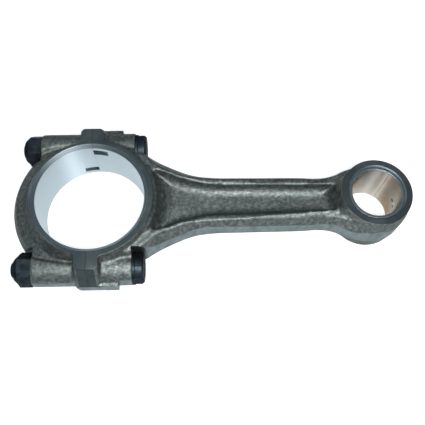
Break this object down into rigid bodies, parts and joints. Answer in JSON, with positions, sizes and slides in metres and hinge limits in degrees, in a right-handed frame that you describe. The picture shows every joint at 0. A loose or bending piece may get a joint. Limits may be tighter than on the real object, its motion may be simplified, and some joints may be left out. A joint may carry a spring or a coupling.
{
  "type": "connecting rod",
  "caption": "Forged engine connecting rod with an I-section beam, a bolted big-end bearing cap and a bushed small end.",
  "frame": {"origin": "centre of the bounding box in plan, on the lower end faces; the big-end bore axis is at X -0.07605 and the small-end bore axis at X +0.10395, both at Y 0", "axes": "+X from the big end to the small end, +Z along both bores, +Y to the side of the upper bolt and the tang slots"},
  "size_m": [0.2548, 0.1082, 0.039],
  "materials": {
    "forging": "forged and shot-blasted skin, ground end faces, oiled",
    "fastener": "blue-black oxide, oiled",
    "bush": "bored bronze-lined steel"
  },
  "bodies": {
    "rod": {"rod_body": "forging", "bolt_upper": "fastener", "bolt_lower": "fastener", "small_end_bush": "bush"},
    "cap": {"bearing_cap": "forging"},
    "nut_upper": {"nut_upper": "fastener"},
    "nut_lower": {"nut_lower": "fastener"}
  },
  "joints": [
    {"name": "cap_draw", "type": "slide", "parent": "rod", "child": "cap", "axis": [-1, 0, 0], "range_m": [0, 0.01375]},
    {"name": "nut_upper_turn", "type": "hinge", "parent": "cap", "child": "nut_upper", "pos_m": [-0.11605, 0.0413, 0.0195], "axis": [-1, 0, 0], "range_deg": [0, 3970]},
    {"name": "nut_lower_turn", "type": "hinge", "parent": "cap", "child": "nut_lower", "pos_m": [-0.11605, -0.0413, 0.0195], "axis": [-1, 0, 0], "range_deg": [0, 3970]}
  ],
  "couplings": [
    {"joint": "nut_upper_turn", "follows": "cap_draw", "rad_per_m": 5026.5},
    {"joint": "nut_lower_turn", "follows": "cap_draw", "rad_per_m": 5026.5}
  ]
}
